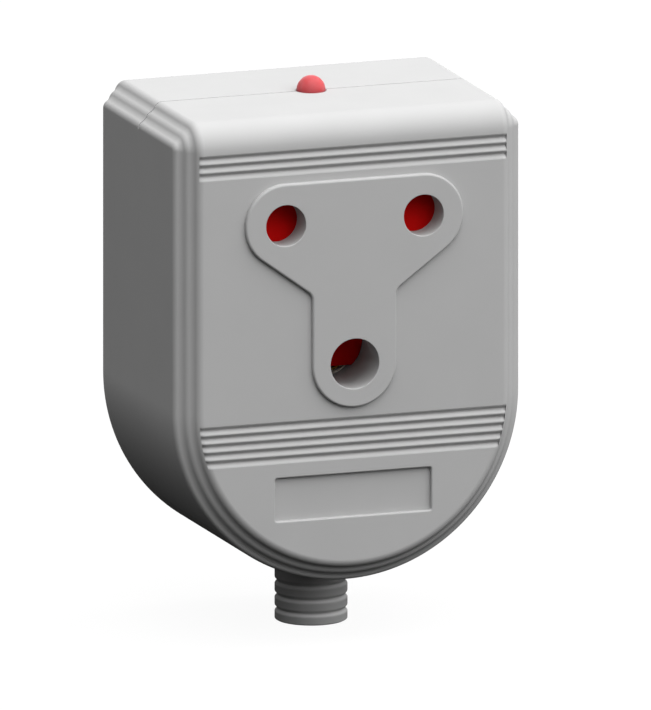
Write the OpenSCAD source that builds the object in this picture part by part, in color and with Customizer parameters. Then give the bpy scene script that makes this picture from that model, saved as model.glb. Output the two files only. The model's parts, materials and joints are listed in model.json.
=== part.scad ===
// Trailing socket with three round pin holes, an indicator lamp and a ribbed cord sleeve.
// X runs to the right, Y to the back and Z up. The seam between the shells is at Y = 0.
// The origin is the middle of the sleeve's mouth, where the cord goes in.

/* [Body] */
// Width of the body, twice the radius of its round lower end
body_w = 63.8; // [60:0.2:72]
// Height of the body, without the sleeve
body_h = 83.4; // [80:0.2:96]
// Depth of the front shell, seam to front face
front_d = 22.1; // [20.5:0.1:26]
// Depth of the rear shell, seam to back face
rear_d = 22.5; // [20:0.1:28]
// Thickness of the shell walls
wall = 2.2; // [1.8:0.1:2.6]
// Width of the reeded border, seen from the front
border_w = 4.3; // [3.4:0.1:5]
// Depth of the reeded border, seen from the side
border_d = 4.2; // [3.4:0.1:5]
// Number of reeds across the border
reed_count = 3; // [2:1:4]
// How far a reed stands above its valleys
reed_h = 0.25; // [0.1:0.05:0.4]
// Radius of the rounded edges along the top
edge_r = 4.8; // [4.8:0.1:7]
// Depth of the step that locks the two shells together
lip_d = 1.2; // [0.8:0.1:2]

/* [Front face] */
// Distance between neighbouring grooves
groove_pitch = 1.5; // [1.4:0.05:2]
// Width of a groove at the face
groove_w = 1.36; // [0.8:0.02:1.38]
// Depth of a groove
groove_d = 0.42; // [0.2:0.02:0.6]
// Grooves above the raised plate
top_grooves = 3; // [1:1:3]
// Grooves below the raised plate
low_grooves = 5; // [1:1:5]
// How far the grooves run into the border
groove_run = 0.8; // [0.2:0.1:1.2]
// Middle of the first upper groove, below the rounded top edge
top_groove_drop = 1; // [0.8:0.1:1.4]
// Middle of the first lower groove, below the raised plate
low_groove_drop = 2.3; // [1.5:0.1:3]
// Width of the label recess
label_w = 28.8; // [20:0.2:34]
// Height of the label recess
label_h = 7.85; // [5:0.05:9]
// Depth of the label recess
label_d = 0.8; // [0.4:0.1:1.2]
// Distance from the last lower groove down to the label recess
label_drop = 3.4; // [2:0.1:4]
// Thickness of the raised plate round the pin holes
plate_t = 0.8; // [0.4:0.1:1.2]
// Radius of the plate round a live or neutral hole
lobe_r = 7.4; // [6:0.1:8.5]
// Radius of the plate round the earth hole
foot_r = 7.75; // [6.5:0.05:8.2]
// Height of the plate's wide part below the live and neutral holes
shoulder_h = 12.8; // [10:0.1:15]

/* [Pin holes] */
// Distance between the live and neutral holes
pin_spread = 25.4; // [24.4:0.1:26.4]
// Distance from the live and neutral holes down to the earth hole
earth_drop = 25.5; // [25:0.1:28.6]
// Distance from the flat top down to the live and neutral holes
pin_drop = 18.5; // [18:0.1:21]
// Diameter of the live and neutral holes
pin_hole_d = 7.7; // [7.3:0.05:8.2]
// Diameter of the earth hole
earth_hole_d = 9.3; // [9:0.05:9.8]
// Length of the live and neutral tunnels, from the plate's face to the shutter's runway
tunnel_len = 5.3; // [4.6:0.1:6]
// Wall of the tunnels behind the front face
tunnel_wall = 1.5; // [1:0.1:1.8]

/* [Shutter] */
// Thickness of the shutter plate
shutter_t = 2; // [1.6:0.1:2.4]
// Running clearance round the shutter
shutter_gap = 0.2; // [0.15:0.05:0.3]
// How far the shutter reaches past the edge of a hole
shutter_lap = 0.45; // [0.3:0.05:0.6]
// Opening left under the wedge in the earth hole
wedge_gap = 1.7; // [1.2:0.1:2.2]
// Height of the wedge's sloping face
ramp_h = 8; // [7:0.1:9]
// Depth of the wedge's sloping face
ramp_d = 4.6; // [4:0.1:5]
// Thickness of the wedge at its tip
wedge_tip = 1.6; // [1.2:0.1:2]
// Height of the wedge from its tip to the spring's seat
wedge_h = 14.9; // [13:0.1:17]
// Diameter of the spring wire
spring_wire = 0.5; // [0.4:0.05:0.6]
// Outer diameter of the spring
spring_d = 4.5; // [4:0.1:4.8]
// Number of turns of the spring
spring_turns = 9; // [6:1:12]
// Length of the spring with the holes closed
spring_len = 23.9; // [20:0.1:25]

/* [Contacts] */
// Bore of the live and neutral contact tubes
pin_bore_d = 7.2; // [7:0.05:7.4]
// Bore of the earth contact tube
earth_bore_d = 8.9; // [8.7:0.05:9.1]
// Wall of the contact tubes
contact_wall = 0.8; // [0.6:0.05:1]
// Length of the live and neutral contact tubes
pin_contact_len = 12.2; // [10:0.1:13]
// Length of the earth contact tube
earth_contact_len = 14.4; // [12:0.1:16]
// Width of the slot that lets a contact tube spring
contact_slot = 1; // [0.6:0.1:1.4]
// Thickness of the steel clip round a contact tube
clip_t = 0.7; // [0.5:0.05:0.8]
// Width of the steel clip along the tube
clip_w = 3; // [2:0.1:5]
// Width and height of a brass terminal block
terminal_w = 9; // [8:0.1:10]
// Depth of a brass terminal block
terminal_d = 7.4; // [6.5:0.1:8]
// Diameter of the wire hole in a terminal block
wire_hole_d = 3.8; // [3:0.1:4.2]
// Diameter of a terminal screw
terminal_screw_d = 3.5; // [3:0.1:4]
// Wall of the contact block round a contact
block_wall = 1.6; // [1.2:0.1:1.8]
// Thickness of the contact block's web
web_t = 3; // [2:0.1:3.4]

/* [Lamp] */
// Diameter of the indicator lamp
lamp_d = 5.2; // [4.8:0.1:6]
// Width of the lamp's circuit board
board_w = 18; // [16:0.2:20]
// Height of the lamp's circuit board
board_h = 8; // [7:0.1:8.4]
// Thickness of the circuit board
board_t = 1.4; // [1:0.1:1.6]
// Diameter of the insulated link wires
link_d = 1.4; // [1:0.1:1.6]

/* [Cord entry] */
// Outer diameter of the sleeve
sleeve_d = 12.7; // [12:0.1:14]
// Bore of the sleeve, which takes the cord
cord_bore_d = 9; // [8:0.1:9.6]
// Length of the sleeve below the body
sleeve_out = 10.7; // [9:0.1:14]
// How far the sleeve's collar reaches past its outside
collar_reach = 2.05; // [1.4:0.05:2.6]
// Thickness of the sleeve's collar
collar_t = 2; // [1.4:0.1:2.4]
// Distance between the sleeve's grooves
sleeve_pitch = 2.5; // [2:0.1:2.8]
// Depth of the sleeve's grooves
sleeve_groove_d = 0.45; // [0.2:0.05:0.6]
// Height of the cord clamp above the bottom of the body
clamp_up = 13.3; // [12.6:0.1:15]
// Width of the cord clamp along the cord
clamp_w = 7; // [5:0.1:8]
// Distance from the cord's axis to a clamp screw
clamp_reach = 9.4; // [9:0.1:11]

/* [Screws] */
// Diameter of the screws that join the shells
screw_d = 3.3; // [3:0.1:3.6]
// Diameter of their heads
screw_head_d = 6; // [5.4:0.1:6.2]
// Length of their shanks
screw_len = 28; // [24:0.5:31]
// Diameter of the small screws of the contact block and clamp
small_screw_d = 2.9; // [2.5:0.1:3.2]
// Diameter of the small screws' heads
small_head_d = 5.2; // [4.6:0.1:5.6]

/* [Hidden] */
$fn = 64;

seat_gap = 0.05; // between fixed pieces that lie against each other
fit_gap = 0.1; // between fixed pieces that slip into each other
over = 1; // how far a cutter runs past what it cuts
root = 1; // how far a post or rib is rooted in its wall
reed_steps = 4; // flats on one reed
arc_fn = 128; // roundness of the large curves

// Body
half_w = body_w / 2;
centre_z = sleeve_out + half_w;
top_z = sleeve_out + body_h;
face_y = -front_d;
inner_front = wall - front_d;
inner_back = rear_d - wall;
inner_top = top_z - wall;

// Pin holes
pin_x = pin_spread / 2;
pin_z = top_z - pin_drop;
earth_z = pin_z - earth_drop;
pin_hole_r = pin_hole_d / 2;
earth_hole_r = earth_hole_d / 2;
plate_y = face_y - plate_t;
tunnel_end = plate_y + tunnel_len;

// Shutter and spring
shutter_front = tunnel_end + shutter_gap;
shutter_back = shutter_front + shutter_t;
arm_half = pin_x + pin_hole_r + shutter_lap + 0.3;
arm_low = pin_z - pin_hole_r - shutter_lap;
arm_high = pin_z + pin_hole_r + shutter_lap;
wedge_y = shutter_back + ramp_d;
wedge_back = wedge_y + wedge_tip;
wedge_z = earth_z - earth_hole_r + wedge_gap;
guide_r = earth_hole_r + 0.25; // the earth tunnel is a little wider behind the shutter's runway
wedge_half = guide_r - shutter_gap;
seat_z = wedge_z + wedge_h;
travel = max(pin_hole_d + shutter_lap + 0.15, earth_hole_d - wedge_gap + 0.5);
spring_y = (shutter_back + wedge_back) / 2;
spring_r = (spring_d - spring_wire) / 2;
spring_step = 0.45; // gap between the closed turns at the spring's ends
turn_steps = 8;
wire_sides = 6;
lug_z = seat_z + spring_len + seat_gap * 2;
lug_t = 2.2;
lug_half = 4.2;
peg_r = spring_r - spring_wire / 2 - 0.4;
peg_h = 2;
guide_t = 1.5;
stop_x = [8.6, 11.4];
stop_h = 2;

// Contact block and contacts
block_front = shutter_back + 0.5;
web_front = wedge_back + 0.8;
web_back = web_front + web_t;
block_face_t = 1.2;
pin_tube_r = pin_bore_d / 2 + contact_wall;
earth_tube_r = earth_bore_d / 2 + contact_wall;
pocket_gap = clip_t + 0.3;
pin_tower_r = pin_tube_r + pocket_gap + block_wall;
earth_tower_r = earth_tube_r + pocket_gap + block_wall;
pin_tube_y = [block_front + block_face_t + fit_gap, block_front + block_face_t + fit_gap + pin_contact_len];
earth_tube_y = [web_front + block_face_t + fit_gap, web_front + block_face_t + fit_gap + earth_contact_len];
clip_offset = 3; // from the front of a tube to its clip
slot_end = 2; // solid ring left at the back of a contact tube
wire_hole_at = 4; // from the front of a terminal block to its wire hole
wire_hole_r = wire_hole_d / 2;
terminal_screw_r = terminal_screw_d / 2;
terminal_head_r = terminal_screw_r + 1.15;
rest_r = 1.1;
rest_at = terminal_w / 2 - rest_r;

// Screws
screw_r = screw_d / 2;
head_r = screw_head_d / 2;
small_r = small_screw_d / 2;
small_head_r = small_head_d / 2;
head_h = 2.2;
slot_w = 0.8;
slot_d = 0.9;
thread_gap = 0.05; // round a screw where its thread would bite
post_wall = 1.6;
well_d = 4.6; // depth of the screw heads' wells in the back
block_screw_len = 9.5;
clamp_screw_len = 12;

// Posts for the screws
post_x = half_w - border_w - 4;
post_z = inner_top - edge_radius(wall) - head_r - fit_gap - post_wall - 0.3;
low_post_r = half_w - border_w - 4.5; // from the middle of the round lower end
low_post_turn = 34.6; // degrees below the level of that middle
low_post_x = low_post_r * cos(low_post_turn);
low_post_z = centre_z - low_post_r * sin(low_post_turn);
seam_gap = 0.1; // from a post's end to the seam
ear_r = small_r + 1.95;
ear_x = pin_x + pin_tower_r + small_r + post_wall + 0.3;
low_ear_x = earth_hole_r + tunnel_wall + small_r * 2 + 2.5;
low_ear_z = earth_z + earth_tower_r + small_r + 1.2;

// Cord entry
sleeve_r = sleeve_d / 2;
cord_r = cord_bore_d / 2;
collar_r = sleeve_r + collar_reach;
collar_z = centre_z - sqrt(pow(half_w - wall, 2) - pow(collar_r, 2)) + fit_gap;
rib_z = collar_z + collar_t + fit_gap;
rib_t = 1.8;
sleeve_top = rib_z + rib_t + 0.2;
sleeve_grooves = 3;
sleeve_groove_w = 0.8;
first_groove_z = 1.8;
clamp_z = sleeve_out + clamp_up;
clamp_t = 3;
arch_r = cord_r + 2.2;

// Lamp
lamp_r = lamp_d / 2;
lamp_flange = 0.6;
lamp_flange_t = 1;
lamp_base = inner_top - seat_gap - lamp_flange_t;
link_r = link_d / 2;
bare_r = 0.45;
link_y = pin_tube_y[1] + wire_hole_at - wire_hole_r + bare_r + 0.35;
lead_r = 0.25;
board_y = max(lead_r + 0.75, link_y + link_r + 0.8); // behind the lamp's leads and the links
board_z = pin_z + terminal_w / 2 + 0.8;
board_top = board_z + board_h;
holder_t = 0.6; // wall of the board's holders in front of and below the board
holder_w = 3;
holder_grip = 1.4;
holder_drop = 1; // from the board's top to the top of its holders
lead_x = 1.27;
lead_z = board_top - 1.3;
resistor_r = 1.2;
resistor_half = 3.1;
resistor_z = board_top - 3.4;
diode_r = 1;
diode_half = 2.1;
diode_z = board_z + 1.9;
link_x = board_w / 2 - 2.7;
link_z = board_z + 2.1;

// Places of the pins, as X and Z
pin_places = [[-pin_x, pin_z], [pin_x, pin_z]];
earth_place = [0, earth_z];

// Places of the screws, as X and Z
post_places = [for (side = [-1, 1]) each [[side * post_x, post_z], [side * low_post_x, low_post_z]]];
ear_places = [for (side = [-1, 1]) each [[side * ear_x, pin_z], [side * low_ear_x, low_ear_z]]];
clamp_places = [for (side = [-1, 1]) [side * clamp_reach, clamp_z]];

// Leg of the border's slope after the walls are moved inwards
function bevel(size, inset) = size - inset * (2 - sqrt(2));

// Radius of the edges along the top after the walls are moved inwards
function edge_radius(inset) = max(edge_r - inset, bevel(border_d, inset) + 0.2);

// Points across the border from the side face, as inset and rise, with the reeds standing out
function border_points(w, d, reeds) =
    let (steps = reeds ? reed_count * reed_steps : 1, slope = norm([w, d]))
    [for (i = [0 : steps])
        let (s = i / steps, bump = reeds ? reed_h * abs(sin(180 * reed_count * s)) : 0)
        [s * w - bump * d / slope, s * d + bump * w / slope]];

// Children are drawn in X and Z and run along Y
module along_y(y0, y1) {
    translate([0, y1, 0]) rotate([90, 0, 0]) linear_extrude(y1 - y0) children();
}

// Children are drawn in Y and Z and run along X
module along_x(x0, x1) {
    translate([x0, 0, 0]) rotate([90, 0, 90]) linear_extrude(x1 - x0) children();
}

module rod_y(place, r, y0, y1) {
    translate([place[0], y1, place[1]]) rotate([90, 0, 0]) cylinder(r = r, h = y1 - y0);
}

module rod_x(y, z, r, x0, x1) {
    translate([x0, y, z]) rotate([0, 90, 0]) cylinder(r = r, h = x1 - x0);
}

module box(low, high) {
    translate(low) cube(high - low);
}

// Wire of round section along straight stretches with round corners
module wire(points, r) {
    for (i = [1 : len(points) - 1]) {
        run = points[i] - points[i - 1];
        translate(points[i - 1])
            rotate([0, acos(run[2] / norm(run)), atan2(run[1], run[0])])
                cylinder(r = r, h = norm(run));
    }
    for (i = [1 : 1 : len(points) - 2])
        translate(points[i]) sphere(r = r);
}

// Screw along Y with its head at the back and a slot across it
module screw(place, head_y, r, length, head_radius) {
    difference() {
        union() {
            rod_y(place, r, head_y - length, head_y);
            rod_y(place, head_radius, head_y, head_y + head_h);
        }
        box([place[0] - slot_w / 2, head_y + head_h - slot_d, place[1] - head_radius - over],
            [place[0] + slot_w / 2, head_y + head_h + over, place[1] + head_radius + over]);
    }
}

// Half of the body from its face back to the seam, running on by tail behind the seam
module half_body(depth, inset, reeds, tail) {
    w = half_w - inset;
    d = depth - inset;
    top = top_z - inset;
    bw = bevel(border_w, inset);
    bd = bevel(border_d, inset);
    er = edge_radius(inset);
    edge = border_points(bw, bd, reeds);
    last = len(edge) - 1;

    // Straight sides
    translate([0, 0, centre_z]) linear_extrude(top - er - centre_z)
        polygon(concat([[-w, tail], [w, tail]],
            [for (p = edge) [w - p[0], bd - d - p[1]]],
            [for (i = [last : -1 : 0]) [edge[i][0] - w, bd - d - edge[i][1]]]));

    // Round lower end
    translate([0, 0, centre_z]) rotate([90, 0, 0]) rotate([0, 0, 180])
        rotate_extrude(angle = 180, $fn = arc_fn)
            polygon(concat([[0, -tail], [w, -tail]],
                [for (p = edge) [w - p[0], d - bd + p[1]]], [[0, d]]));

    // Flat top
    along_y(er - d, tail)
        polygon(concat([[-w, top - er], [w, top - er]],
            [for (p = edge) [w - p[0], top - bd + p[1]]],
            [for (i = [last : -1 : 0]) [edge[i][0] - w, top - bd + edge[i][1]]]));

    // Rounded edge between the top and the face
    translate([0, er - d, top - er]) rotate([90, 0, 90]) rotate([0, 0, 90])
        rotate_extrude(angle = 90)
            polygon(concat([[0, -w], [er - bd, -w]],
                [for (p = edge) [er - bd + p[1], p[0] - w]],
                [for (i = [last : -1 : 0]) [er - bd + edge[i][1], w - edge[i][0]]],
                [[er - bd, w], [0, w]]));
}

// Body outline as seen from the front
module outline(inset) {
    w = half_w - inset;
    top = top_z - inset;
    bw = bevel(border_w, inset);
    bd = bevel(border_d, inset);
    translate([0, centre_z]) circle(r = w, $fn = arc_fn);
    polygon([[-w, centre_z], [w, centre_z], [w, top - bd], [w - bw, top], [bw - w, top], [-w, top - bd]]);
}

// Raised plate round the holes: two lobes, a foot and the slopes that leave the lobes smoothly
module plate_outline() {
    run = [foot_r - pin_x, -shoulder_h];
    turn = atan2(run[1], run[0]) + acos(lobe_r / norm(run));
    leave = [pin_x + lobe_r * cos(turn), pin_z + lobe_r * sin(turn)];
    for (place = pin_places)
        translate(place) circle(r = lobe_r);
    translate(earth_place) circle(r = foot_r);
    translate([-foot_r, earth_z]) square([foot_r * 2, pin_z - shoulder_h - earth_z]);
    polygon([[-pin_x, pin_z + lobe_r], [-leave[0], leave[1]], [-foot_r, pin_z - shoulder_h],
        [foot_r, pin_z - shoulder_h], leave, [pin_x, pin_z + lobe_r]]);
}

// Cutter for one groove across the front face
module groove(z) {
    r = (pow(groove_w / 2, 2) + pow(groove_d, 2)) / (2 * groove_d);
    run = half_w - border_w + groove_run;
    rod_x(face_y - r + groove_d, z, r, -run, run);
}

// Grooves above and below the raised plate, and the label recess under them
module face_cuts() {
    top_groove = top_z - edge_r - top_groove_drop;
    low_groove = earth_z - foot_r - low_groove_drop;
    label_top = low_groove - (low_grooves - 1) * groove_pitch - label_drop;
    for (i = [0 : top_grooves - 1])
        groove(top_groove - i * groove_pitch);
    for (i = [0 : low_grooves - 1])
        groove(low_groove - i * groove_pitch);
    box([-label_w / 2, face_y - over, label_top - label_h], [label_w / 2, face_y + label_d, label_top]);
}

// Ways through the walls for the sleeve and the lamp
module entry_cuts() {
    translate([0, 0, sleeve_out - over])
        cylinder(r = sleeve_r + fit_gap, h = sleeve_top - sleeve_out + over * 2);
    translate([0, 0, inner_top - over]) cylinder(r = lamp_r + seat_gap, h = wall + over * 2);
}

// Rib across the lower end of a shell that keeps the sleeve's collar down
module collar_rib(depth, start) {
    intersection() {
        half_body(depth, wall / 2, false, 0);
        box([-half_w, -depth, rib_z], [half_w, -start, rib_z + rib_t]);
    }
}

module front_shell() {
    wall_mid = inner_front - root;
    color("#b2b2b2") difference() {
        union() {
            difference() {
                half_body(front_d, 0, true, 0);
                half_body(front_d, wall, false, over);
                along_y(-lip_d - fit_gap, over) outline(wall / 2);
            }
            // Raised plate and the tunnels behind it
            along_y(plate_y, face_y + root) plate_outline();
            for (place = pin_places)
                rod_y(place, pin_hole_r + tunnel_wall, wall_mid, tunnel_end);
            rod_y(earth_place, earth_hole_r + tunnel_wall, wall_mid, web_front - fit_gap);
            for (side = [-1, 1])
                mirror([side < 0 ? 1 : 0, 0, 0]) {
                    // Guides beside the wedge and the arms, and the stop under an arm
                    box([guide_r, wall_mid, earth_z],
                        [earth_hole_r + tunnel_wall, web_front - fit_gap, seat_z + shutter_gap]);
                    box([arm_half + shutter_gap, wall_mid, arm_low - stop_h],
                        [arm_half + shutter_gap + guide_t, shutter_back, arm_high + travel + shutter_gap]);
                    box([stop_x[0], wall_mid, arm_low - shutter_gap - stop_h],
                        [stop_x[1], shutter_back, arm_low - shutter_gap]);
                }
            // Posts for the screws
            for (place = post_places)
                rod_y(place, screw_r + post_wall, wall_mid, -seam_gap);
            for (place = ear_places)
                rod_y(place, small_r + post_wall, wall_mid, web_front - seat_gap);
            for (place = clamp_places)
                rod_y(place, small_r + post_wall, wall_mid, -seat_gap);
            // Saddle under the cord and the rib over the sleeve's collar
            box([-arch_r, wall_mid, clamp_z - clamp_w / 2], [arch_r, -cord_r / 3, clamp_z + clamp_w / 2]);
            collar_rib(front_d, lip_d + fit_gap * 2);
        }
        for (place = pin_places)
            rod_y(place, pin_hole_r, plate_y - over, tunnel_end + over);
        rod_y(earth_place, earth_hole_r, plate_y - over, tunnel_end + over);
        // Wider tunnel behind the runway, open to the wedge from above
        rod_y(earth_place, guide_r, tunnel_end, web_front + over);
        box([-guide_r, tunnel_end, earth_z],
            [guide_r, web_front + over, earth_z + earth_hole_r + tunnel_wall + over]);
        face_cuts();
        entry_cuts();
        translate([0, 0, clamp_z - clamp_w]) cylinder(r = cord_r, h = clamp_w * 2);
        for (place = post_places)
            rod_y(place, screw_r + thread_gap, rear_d - well_d - screw_len - over, over);
        for (place = ear_places)
            rod_y(place, small_r + thread_gap, web_back - block_screw_len - over, web_front + over);
        for (place = clamp_places)
            rod_y(place, small_r + thread_gap, clamp_t - clamp_screw_len - over, over);
    }
}

module rear_shell() {
    wall_mid = inner_back + root;
    well_y = rear_d - well_d;
    color("#a9a9a9") difference() {
        union() {
            difference() {
                union() {
                    mirror([0, 1, 0]) half_body(rear_d, 0, true, 0);
                    along_y(-lip_d, over) outline(wall / 2 + fit_gap);
                }
                mirror([0, 1, 0]) half_body(rear_d, wall, false, over);
                along_y(-lip_d - over, over) outline(wall);
            }
            for (place = post_places)
                rod_y(place, head_r + fit_gap + post_wall, seam_gap, wall_mid);
            mirror([0, 1, 0]) collar_rib(rear_d, seam_gap);
            // Holders for the edges of the circuit board
            for (side = [-1, 1])
                mirror([side < 0 ? 1 : 0, 0, 0])
                    box([board_w / 2 - holder_grip, board_y - holder_t, board_z - holder_t],
                        [board_w / 2 - holder_grip + holder_w, wall_mid, board_top - holder_drop]);
            // Pegs that rest on the terminal blocks
            for (side = [-1, 1]) {
                for (place = pin_places)
                    rod_y(place + [side * rest_at, -rest_at], rest_r,
                        pin_tube_y[1] + terminal_d + seat_gap, wall_mid);
                rod_y(earth_place + [side * rest_at, -rest_at], rest_r,
                    earth_tube_y[1] + terminal_d + seat_gap, wall_mid);
            }
        }
        box([-board_w / 2 - fit_gap, board_y - fit_gap, board_z - seat_gap],
            [board_w / 2 + fit_gap, board_y + board_t + fit_gap, board_top + over]);
        entry_cuts();
        for (place = post_places) {
            rod_y(place, screw_r + fit_gap, -over, rear_d);
            rod_y(place, head_r + fit_gap, well_y, rear_d + over);
        }
    }
}

module shutter() {
    color("#b80d0d") {
        // Stem and wedge, whose lower end is round to suit the earth tunnel
        intersection() {
            along_x(-wedge_half, wedge_half)
                polygon([[shutter_front, arm_high],
                    [shutter_front, wedge_z + ramp_h * (1 + shutter_t / ramp_d)], [wedge_y, wedge_z],
                    [wedge_back, wedge_z], [wedge_back, seat_z], [shutter_back, seat_z],
                    [shutter_back, arm_high]]);
            along_y(shutter_front - over, wedge_back + over) {
                translate(earth_place) circle(r = wedge_half);
                translate([-wedge_half, earth_z]) square([wedge_half * 2, arm_high - earth_z]);
            }
        }
        box([-arm_half, shutter_front, arm_low], [arm_half, shutter_back, arm_high]);
        translate([0, spring_y, seat_z - over]) cylinder(r = peg_r, h = peg_h + over);
    }
}

// Height of the spring's wire after t turns, with one closed turn at each end
function spring_rise(t) =
    let (closed = spring_wire + spring_step, full = spring_len - spring_wire,
        open = (full - closed * 2) / (spring_turns - 2))
    t < 1 ? t * closed
        : t > spring_turns - 1 ? full - (spring_turns - t) * closed
        : closed + (t - 1) * open;

function spring_point(i) =
    let (t = i / turn_steps)
    [spring_r * cos(360 * t), spring_y + spring_r * sin(360 * t),
        seat_z + seat_gap + spring_wire / 2 + spring_rise(t)];

module shutter_spring() {
    count = spring_turns * turn_steps;
    line = [for (i = [0 : count]) spring_point(i)];
    gap = min([for (i = [0 : count - turn_steps]) for (j = [i + turn_steps - 3 : min(count, i + turn_steps + 3)])
        norm(line[i] - line[j])]) - spring_wire;
    echo(least_gap_between_turns = gap);
    rings = [for (i = [0 : count]) for (k = [0 : wire_sides - 1])
        let (turn = 360 * i / turn_steps, a = 360 * k / wire_sides)
        line[i] + spring_wire / 2 * [cos(a) * cos(turn), cos(a) * sin(turn), sin(a)]];
    sides = [for (i = [0 : count - 1]) for (k = [0 : wire_sides - 1])
        let (a = i * wire_sides + k, b = i * wire_sides + (k + 1) % wire_sides)
        each [[a, a + wire_sides, b], [b, a + wire_sides, b + wire_sides]]];
    ends = [for (k = [1 : wire_sides - 2]) each
        [[0, k, k + 1], [count * wire_sides, count * wire_sides + k + 1, count * wire_sides + k]]];
    color("#c9ccd0") polyhedron(rings, concat(sides, ends));
}

module contact_block() {
    color("#e4e0d2") difference() {
        union() {
            for (place = pin_places)
                rod_y(place, pin_tower_r, block_front, pin_tube_y[1] - seat_gap);
            rod_y(earth_place, earth_tower_r, web_front, earth_tube_y[1] - seat_gap);
            along_y(web_front, web_back) {
                translate([-ear_x, pin_z - ear_r]) square([ear_x * 2, ear_r * 2]);
                translate([-low_ear_x, low_ear_z - ear_r]) square([low_ear_x * 2, ear_r * 2]);
                translate([-earth_tower_r, earth_z]) square([earth_tower_r * 2, pin_z - earth_z]);
                translate([-lug_half, pin_z]) square([lug_half * 2, lug_z + lug_t - pin_z]);
                for (place = ear_places)
                    translate(place) circle(r = ear_r);
            }
            // Lug over the shutter's spring
            box([-lug_half, block_front, lug_z], [lug_half, web_front + over, lug_z + lug_t]);
            translate([0, spring_y, lug_z - peg_h]) cylinder(r = peg_r, h = peg_h + over);
        }
        for (place = pin_places) {
            rod_y(place, pin_hole_r, block_front - over, pin_tube_y[0]);
            rod_y(place, pin_tube_r + pocket_gap, pin_tube_y[0] - fit_gap, pin_tube_y[1] + over);
        }
        rod_y(earth_place, earth_hole_r, web_front - over, earth_tube_y[0]);
        rod_y(earth_place, earth_tube_r + pocket_gap, earth_tube_y[0] - fit_gap, earth_tube_y[1] + over);
        for (place = ear_places)
            rod_y(place, small_r + fit_gap, web_front - over, web_back + over);
    }
}

// Split tube that grips a pin, in one piece with the block that clamps the wire
module contact(place, bore_d, tube_r, tube_y) {
    half = terminal_w / 2;
    hole_y = tube_y[1] + wire_hole_at;
    color("#c9a24a") difference() {
        union() {
            rod_y(place, tube_r, tube_y[0], tube_y[1] + over);
            box([place[0] - half, tube_y[1], place[1] - half],
                [place[0] + half, tube_y[1] + terminal_d, place[1] + half]);
        }
        rod_y(place, bore_d / 2, tube_y[0] - over, tube_y[1]);
        box([place[0] - contact_slot / 2, tube_y[0] - over, place[1]],
            [place[0] + contact_slot / 2, tube_y[1] - slot_end, place[1] + tube_r + over]);
        translate([place[0], hole_y, place[1] - half - over]) cylinder(r = wire_hole_r, h = terminal_w + over * 2);
        rod_y(place, terminal_screw_r + thread_gap, hole_y, tube_y[1] + terminal_d + over);
    }
}

// Open steel ring round a contact tube
module clip(place, tube_r, tube_y) {
    r = tube_r + seat_gap;
    color("#b9bcc0") difference() {
        rod_y(place, r + clip_t, tube_y[0] + clip_offset, tube_y[0] + clip_offset + clip_w);
        rod_y(place, r, tube_y[0], tube_y[0] + clip_offset + clip_w + over);
        box([place[0] - r / 2, tube_y[0], place[1] + r / 2],
            [place[0] + r / 2, tube_y[0] + clip_offset + clip_w + over, place[1] + r + clip_t + over]);
    }
}

module live_contact() {
    contact(pin_places[0], pin_bore_d, pin_tube_r, pin_tube_y);
}

module neutral_contact() {
    contact(pin_places[1], pin_bore_d, pin_tube_r, pin_tube_y);
}

module earth_contact() {
    contact(earth_place, earth_bore_d, earth_tube_r, earth_tube_y);
}

module live_clip() {
    clip(pin_places[0], pin_tube_r, pin_tube_y);
}

module neutral_clip() {
    clip(pin_places[1], pin_tube_r, pin_tube_y);
}

module earth_clip() {
    clip(earth_place, earth_tube_r, earth_tube_y);
}

module terminal_screws() {
    reach = terminal_d - wire_hole_at - 0.6;
    color("#d0d0d0") {
        for (place = pin_places)
            screw(place, pin_tube_y[1] + terminal_d + seat_gap, terminal_screw_r, reach, terminal_head_r);
        screw(earth_place, earth_tube_y[1] + terminal_d + seat_gap, terminal_screw_r, reach, terminal_head_r);
    }
}

module block_screws() {
    color("#c4c4c4") for (place = ear_places)
        screw(place, web_back + seat_gap, small_r, block_screw_len, small_head_r);
}

module indicator_lamp() {
    color("#d8555a") rotate_extrude() {
        translate([0, lamp_base]) square([lamp_r + lamp_flange, lamp_flange_t]);
        translate([0, lamp_base]) square([lamp_r, top_z - lamp_base]);
        intersection() {
            translate([0, top_z]) circle(r = lamp_r);
            translate([0, top_z]) square([lamp_r, lamp_r]);
        }
    }
}

module lamp_leads() {
    color("#cfd0cc") for (x = [-lead_x, lead_x])
        wire([[x, 0, lamp_base - seat_gap], [x, 0, lead_z], [x, board_y - seat_gap, lead_z]], lead_r);
}

module lamp_board() {
    color("#2f6b45")
        box([-board_w / 2, board_y, board_z], [board_w / 2, board_y + board_t, board_top]);
}

// Part with a round body and two leads bent down to the board
module board_part(r, half, z) {
    y = board_y - r - 0.2;
    rod_x(y, z, r, -half, half);
    for (side = [-1, 1])
        wire([[side * (half - 0.2), y, z], [side * (half + 1.1), y, z],
            [side * (half + 1.1), board_y - seat_gap, z]], lead_r);
}

module lamp_resistor() {
    color("#c8b083") board_part(resistor_r, resistor_half, resistor_z);
}

module lamp_diode() {
    color("#2b2b2b") board_part(diode_r, diode_half, diode_z);
}

// Insulated wire from the board to a terminal, with its bare end in the wire hole
module link(side) {
    terminal_top = pin_z + terminal_w / 2;
    wire([[side * link_x, board_y - seat_gap, link_z], [side * link_x, link_y, link_z],
        [side * pin_x, link_y, link_z], [side * pin_x, link_y, terminal_top + 0.3]], link_r);
    wire([[side * pin_x, link_y, link_z], [side * pin_x, link_y, pin_z + 1]], bare_r);
}

module live_link() {
    color("#7a4a2b") link(-1);
}

module neutral_link() {
    color("#3566a8") link(1);
}

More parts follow.
